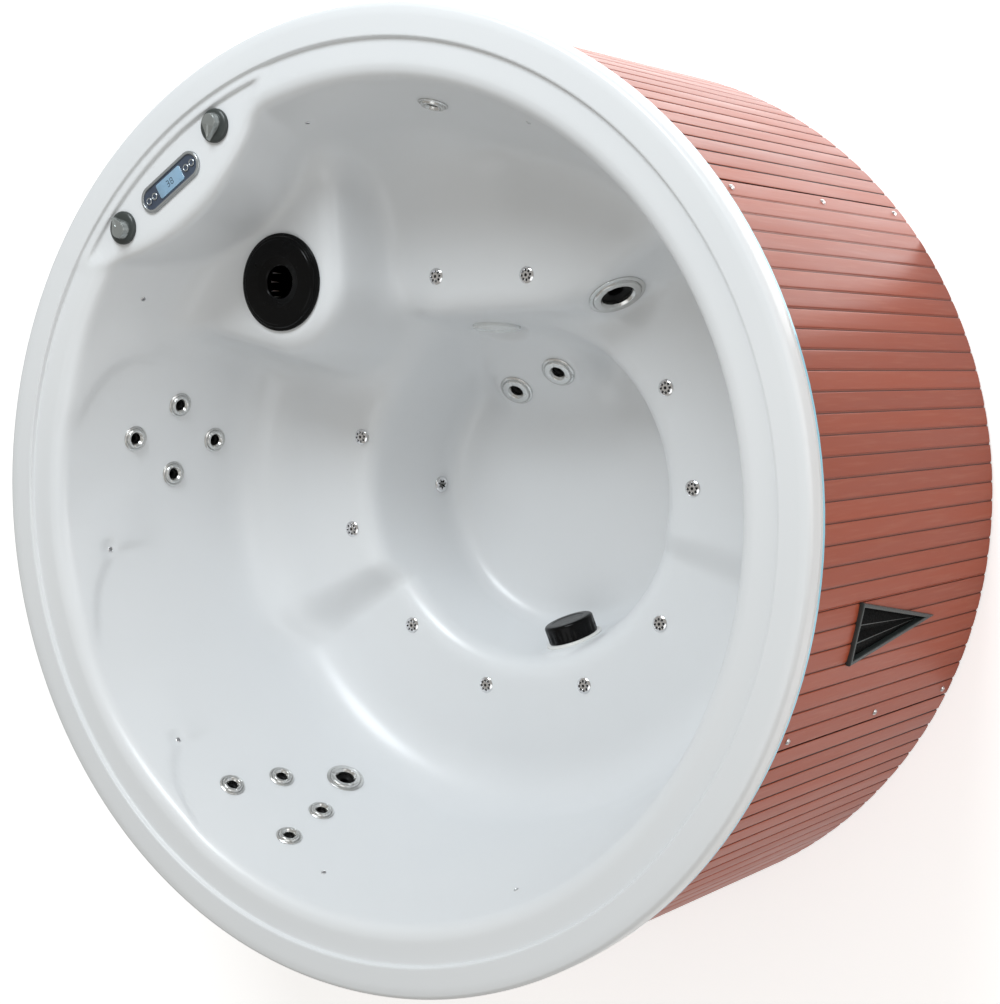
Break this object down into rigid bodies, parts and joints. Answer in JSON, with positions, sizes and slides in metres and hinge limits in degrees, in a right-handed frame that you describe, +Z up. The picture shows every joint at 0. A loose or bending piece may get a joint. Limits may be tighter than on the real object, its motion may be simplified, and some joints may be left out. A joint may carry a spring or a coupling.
{
  "type": "hot tub",
  "caption": "Round free-standing acrylic hot tub with a slatted wood-look skirt, seats at several heights, turning massage jets, filter lid and rim controls",
  "frame": {"origin": "middle of the base, on the floor", "axes": "+Z up; +X towards the upper seat; -Y towards the access panel"},
  "size_m": [1.9999, 1.9998, 0.965],
  "materials": {
    "acrylic": "glossy white acrylic",
    "edge_strip": "pale blue translucent edge strip",
    "slats": "embossed red-brown wood look",
    "steel": "polished stainless escutcheon",
    "chrome": "chrome",
    "black": "black plastic",
    "black_gloss": "glossy black plastic",
    "silver": "silver lacquered plastic",
    "overlay": "dark blue-grey key overlay",
    "display": "light blue display window",
    "lens": "clear moulded lens",
    "white_plastic": "white plumbing plastic",
    "grey_plastic": "grey moulded plastic",
    "frame_wood": "planed softwood",
    "foam": "rigid foam",
    "pleats": "pleated filter fabric",
    "motor_paint": "dark grey enamel",
    "screw_steel": "plated screw"
  },
  "bodies": {
    "tub": {"access_panel": "slats", "acrylic_shell": "acrylic", "air_channel": "white_plastic", "air_injector_caps": "chrome", "air_valve_bodies": "grey_plastic", "base_pan": "grey_plastic", "blower_housing": "grey_plastic", "control_box": "grey_plastic", "display_window": "display", "filter_basket": "black", "filter_canister": "white_plastic", "filter_cartridge": "pleats", "footwell_support": "foam", "frame_posts": "frame_wood", "frame_rings": "frame_wood", "heater": "steel", "jet_bodies": "white_plastic", "jet_nozzles": "black", "light_housing": "white_plastic", "light_lens": "lens", "lip_edge_strip": "edge_strip", "panel_bezel": "silver", "panel_housing": "overlay", "power_gland": "black", "pump_motor": "motor_paint", "pump_volute": "black", "return_jet": "chrome", "skirt_panel_left": "slats", "skirt_panel_rear": "slats", "skirt_panel_right": "slats", "skirt_screws": "screw_steel", "suction_body": "white_plastic", "suction_cover": "black_gloss", "suction_flange": "white_plastic", "vent_frame": "black", "vent_louvres": "black_gloss", "wall_lights": "lens", "water_pipes": "white_plastic"},
    "jet_left_top_face": {"jet_left_top": "steel"},
    "jet_left_front_face": {"jet_left_front": "steel"},
    "jet_left_back_face": {"jet_left_back": "steel"},
    "jet_left_low_face": {"jet_left_low": "steel"},
    "jet_low_top_front_face": {"jet_low_top_front": "steel"},
    "jet_low_top_back_face": {"jet_low_top_back": "steel"},
    "jet_low_mid_front_face": {"jet_low_mid_front": "steel"},
    "jet_low_mid_back_face": {"jet_low_mid_back": "steel"},
    "jet_low_medium_face": {"jet_low_medium": "steel"},
    "jet_neck_face": {"jet_neck": "steel"},
    "jet_large_face": {"jet_large": "steel"},
    "jet_foot_left_face": {"jet_foot_left": "steel"},
    "jet_foot_right_face": {"jet_foot_right": "steel"},
    "air_knob_upper_turner": {"air_knob_upper": "silver"},
    "air_knob_lower_turner": {"air_knob_lower": "silver"},
    "lid": {"filter_lid": "black_gloss"},
    "panel_button_1_key": {"panel_button_1": "silver"},
    "panel_button_2_key": {"panel_button_2": "silver"},
    "panel_button_3_key": {"panel_button_3": "silver"},
    "panel_button_4_key": {"panel_button_4": "silver"},
    "impeller": {"pump_impeller": "grey_plastic"},
    "fan": {"blower_fan": "black"}
  },
  "joints": [
    {"name": "jet_left_top_turn", "type": "hinge", "parent": "tub", "child": "jet_left_top_face", "pos_m": [0.20184, 0.78046, 0.7463], "axis": [-0.2423, -0.9369, 0.2521], "range_deg": [0, 150]},
    {"name": "jet_left_front_turn", "type": "hinge", "parent": "tub", "child": "jet_left_front_face", "pos_m": [0.27274, 0.72947, 0.6414], "axis": [-0.3389, -0.9064, 0.2521], "range_deg": [0, 150]},
    {"name": "jet_left_back_turn", "type": "hinge", "parent": "tub", "child": "jet_left_back_face", "pos_m": [0.11511, 0.77023, 0.6414], "axis": [-0.143, -0.9571, 0.2521], "range_deg": [0, 150]},
    {"name": "jet_left_low_turn", "type": "hinge", "parent": "tub", "child": "jet_left_low_face", "pos_m": [0.18807, 0.72722, 0.53538], "axis": [-0.2423, -0.9369, 0.2521], "range_deg": [0, 150]},
    {"name": "jet_low_top_front_turn", "type": "hinge", "parent": "tub", "child": "jet_low_top_front_face", "pos_m": [-0.59588, 0.55373, 0.77435], "axis": [0.7089, -0.6587, 0.2521], "range_deg": [0, 150]},
    {"name": "jet_low_top_back_turn", "type": "hinge", "parent": "tub", "child": "jet_low_top_back_face", "pos_m": [-0.70729, 0.40179, 0.77435], "axis": [0.8414, -0.478, 0.2521], "range_deg": [0, 150]},
    {"name": "jet_low_mid_front_turn", "type": "hinge", "parent": "tub", "child": "jet_low_mid_front_face", "pos_m": [-0.59642, 0.50759, 0.65823], "axis": [0.7369, -0.6272, 0.2521], "range_deg": [0, 150]},
    {"name": "jet_low_mid_back_turn", "type": "hinge", "parent": "tub", "child": "jet_low_mid_back_face", "pos_m": [-0.67271, 0.40102, 0.65823], "axis": [0.8312, -0.4955, 0.2521], "range_deg": [0, 150]},
    {"name": "jet_low_medium_turn", "type": "hinge", "parent": "tub", "child": "jet_low_medium_face", "pos_m": [-0.61994, 0.42289, 0.53556], "axis": [0.7994, -0.5453, 0.2521], "range_deg": [0, 150]},
    {"name": "jet_neck_turn", "type": "hinge", "parent": "tub", "child": "jet_neck_face", "pos_m": [0.80043, -0.16722, 0.79121], "axis": [-0.9473, 0.1979, 0.2521], "range_deg": [0, 150]},
    {"name": "jet_large_turn", "type": "hinge", "parent": "tub", "child": "jet_large_face", "pos_m": [0.39915, -0.3523, 0.44], "axis": [-0.8735, -0.4167, 0.2516], "range_deg": [0, 150]},
    {"name": "jet_foot_left_turn", "type": "hinge", "parent": "tub", "child": "jet_foot_left_face", "pos_m": [0.239, 0.092, 0.1787], "axis": [-0.6428, 0, 0.766], "range_deg": [0, 150]},
    {"name": "jet_foot_right_turn", "type": "hinge", "parent": "tub", "child": "jet_foot_right_face", "pos_m": [0.268, -0.042, 0.20304], "axis": [-0.6428, 0, 0.766], "range_deg": [0, 150]},
    {"name": "air_knob_upper_turn", "type": "hinge", "parent": "tub", "child": "air_knob_upper_turner", "pos_m": [0.8219, 0.29428, 0.931], "axis": [0, 0, 1], "range_deg": [0, 180]},
    {"name": "air_knob_lower_turn", "type": "hinge", "parent": "tub", "child": "air_knob_lower_turner", "pos_m": [0.64856, 0.57988, 0.931], "axis": [0, 0, 1], "range_deg": [0, 180]},
    {"name": "filter_lid_lift", "type": "slide", "parent": "tub", "child": "lid", "axis": [0, 0, 1], "range_m": [0, 0.15]},
    {"name": "panel_button_1_press", "type": "slide", "parent": "tub", "child": "panel_button_1_key", "axis": [0, 0, -1], "range_m": [0, 0.0008], "stiffness_N_per_m": 900, "springref_m": -0.001},
    {"name": "panel_button_2_press", "type": "slide", "parent": "tub", "child": "panel_button_2_key", "axis": [0, 0, -1], "range_m": [0, 0.0008], "stiffness_N_per_m": 900, "springref_m": -0.001},
    {"name": "panel_button_3_press", "type": "slide", "parent": "tub", "child": "panel_button_3_key", "axis": [0, 0, -1], "range_m": [0, 0.0008], "stiffness_N_per_m": 900, "springref_m": -0.001},
    {"name": "panel_button_4_press", "type": "slide", "parent": "tub", "child": "panel_button_4_key", "axis": [0, 0, -1], "range_m": [0, 0.0008], "stiffness_N_per_m": 900, "springref_m": -0.001},
    {"name": "impeller_spin", "type": "hinge", "parent": "tub", "child": "impeller", "pos_m": [-0.16, -0.69, 0.105], "axis": [1, 0, 0], "continuous": true},
    {"name": "blower_spin", "type": "hinge", "parent": "tub", "child": "fan", "pos_m": [-0.55998, -0.46988, 0.01], "axis": [0, 0, 1], "continuous": true}
  ]
}
